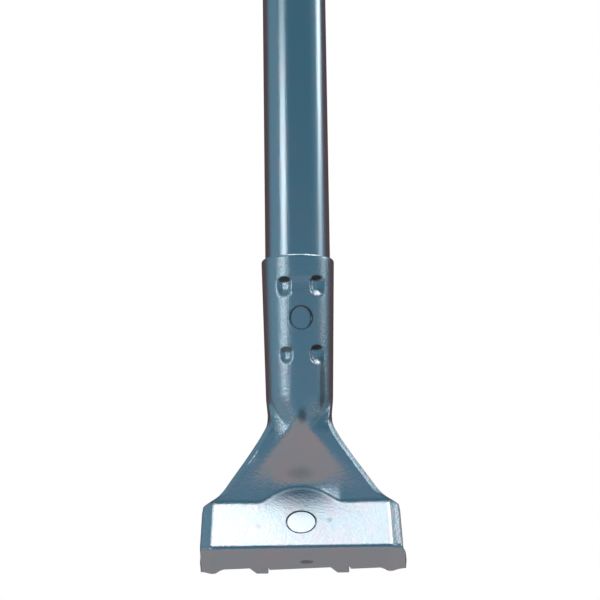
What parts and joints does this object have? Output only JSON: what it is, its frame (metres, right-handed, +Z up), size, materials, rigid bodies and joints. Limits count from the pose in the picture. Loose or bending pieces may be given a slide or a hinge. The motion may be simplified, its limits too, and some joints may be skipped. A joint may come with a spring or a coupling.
{
  "type": "algae scraper",
  "caption": "Long-handled algae scraper: a pressed zinc-plated steel head crimped on a tube, with a sloping plate, folded lip and a bolted, reversible blade.",
  "frame": {"origin": "centre of the hang hole in the end plug's tongue, at the top of the handle", "axes": "+Z up along the handle's tube, away from the head; -Y out of the front of the head, the side its plate and recess face; +X to the right seen from the front"},
  "size_m": [0.094, 0.0473, 0.4776],
  "materials": {
    "zinc_steel": "bright zinc plate over pressed sheet, bluish, fine grain and handling scuffs",
    "zinc_tube": "bright zinc plate over drawn tube, faint lengthwise drawing lines",
    "zinc_hardware": "bright zinc plate on fasteners",
    "spring_steel": "grey phosphated spring steel",
    "blade_steel": "ground stainless strip with a polished bevel",
    "grip_vinyl": "dipped soft vinyl, satin",
    "plug_plastic": "moulded plastic, fine texture"
  },
  "bodies": {
    "head": {"scraper_head": "zinc_steel", "handle_tube": "zinc_tube", "hand_grip": "grip_vinyl", "end_plug": "plug_plastic", "blade_backing": "zinc_steel", "clamp_bolt": "zinc_hardware"},
    "clamp": {"clamp_plate": "zinc_steel", "flat_washer": "zinc_hardware", "lock_washer": "spring_steel"},
    "nut": {"wing_nut": "zinc_hardware"},
    "blade": {"blade": "blade_steel"}
  },
  "joints": [
    {"name": "clamp_travel", "type": "slide", "parent": "head", "child": "clamp", "axis": [0, 0.7408, -0.6717], "range_m": [0, 0.0041]},
    {"name": "nut_spin", "type": "hinge", "parent": "clamp", "child": "nut", "pos_m": [0, -0.01727, -0.44352], "axis": [0, 0.7408, -0.6717], "range_deg": [0, 1440]},
    {"name": "blade_slide", "type": "slide", "parent": "head", "child": "blade", "axis": [0, 0.6717, 0.7408], "range_m": [0, 0.03]}
  ],
  "couplings": [
    {"joint": "clamp_travel", "follows": "nut_spin", "m_per_rad": 0.00015915}
  ]
}
